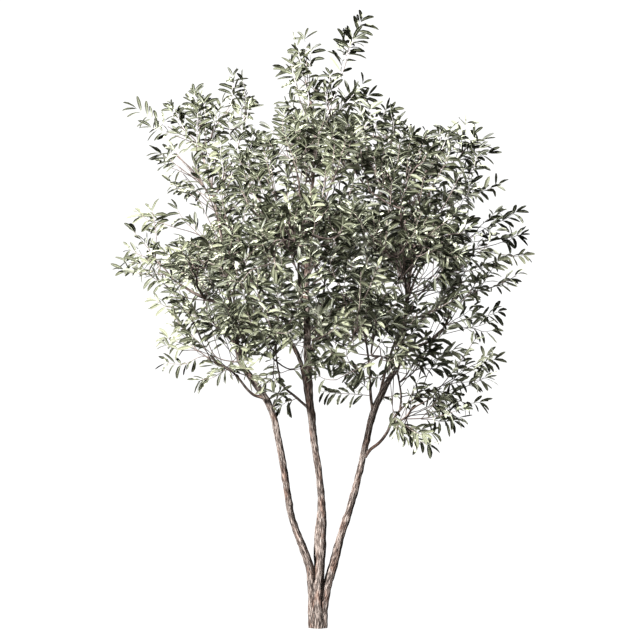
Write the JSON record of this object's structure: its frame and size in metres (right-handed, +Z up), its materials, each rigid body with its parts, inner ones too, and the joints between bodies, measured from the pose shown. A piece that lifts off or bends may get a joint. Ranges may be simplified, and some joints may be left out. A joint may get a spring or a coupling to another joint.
{
  "type": "olive tree",
  "caption": "Young multi-stemmed olive tree with slender fluted stems rising from one short foot and an open, broad crown of narrow grey-green leaves.",
  "frame": {"origin": "middle of the flat cut under the trunk, at ground level", "axes": "+Z up along the tree; +X to the right and +Y away, seen from the front"},
  "size_m": [2.0781, 1.8243, 2.9991],
  "materials": {
    "bark": "rough, fibrous grey-brown bark",
    "bough_bark": "darker young bark of boughs and twigs",
    "foliage": "leathery leaves, olive green above and pale silver-green below"
  },
  "bodies": {
    "root": {"trunk_foot": "bark", "stem_middle": "bark", "stem_left": "bark", "stem_right": "bark", "stem_back": "bark", "bough_low_left": "bough_bark", "bough_left": "bough_bark", "bough_left_front": "bough_bark", "bough_left_rear": "bough_bark", "bough_upper_left": "bough_bark", "bough_low_middle": "bough_bark", "bough_front": "bough_bark", "bough_top": "bough_bark", "bough_back": "bough_bark", "bough_back_left": "bough_bark", "bough_low_right": "bough_bark", "bough_low_right_out": "bough_bark", "bough_low_right_rise": "bough_bark", "bough_right_inner": "bough_bark", "bough_right": "bough_bark", "bough_right_front": "bough_bark", "bough_right_rear": "bough_bark", "bough_right_fork": "bough_bark", "foliage_top_shoot": "foliage", "foliage_top_left": "foliage", "foliage_top_middle": "foliage", "foliage_top_right": "foliage", "foliage_upper_left_tip": "foliage", "foliage_upper_left": "foliage", "foliage_far_left_tip": "foliage", "foliage_left_shoulder": "foliage", "foliage_left": "foliage", "foliage_left_low": "foliage", "foliage_left_bottom": "foliage", "foliage_right_upper": "foliage", "foliage_right_shoulder": "foliage", "foliage_right": "foliage", "foliage_right_low": "foliage", "foliage_right_under": "foliage", "foliage_right_bottom": "foliage", "foliage_low_right": "foliage", "foliage_lowest": "foliage", "foliage_front_top": "foliage", "foliage_front_left_upper": "foliage", "foliage_front_right_upper": "foliage", "foliage_front_middle": "foliage", "foliage_front_left": "foliage", "foliage_front_right": "foliage", "foliage_front_low_left": "foliage", "foliage_front_low_right": "foliage", "foliage_back_top": "foliage", "foliage_back_left_upper": "foliage", "foliage_back_right_upper": "foliage", "foliage_back_middle": "foliage", "foliage_back_left": "foliage", "foliage_back_right": "foliage", "foliage_back_low": "foliage", "foliage_heart_left": "foliage", "foliage_heart_right": "foliage", "foliage_heart_middle": "foliage"}
  },
  "joints": []
}
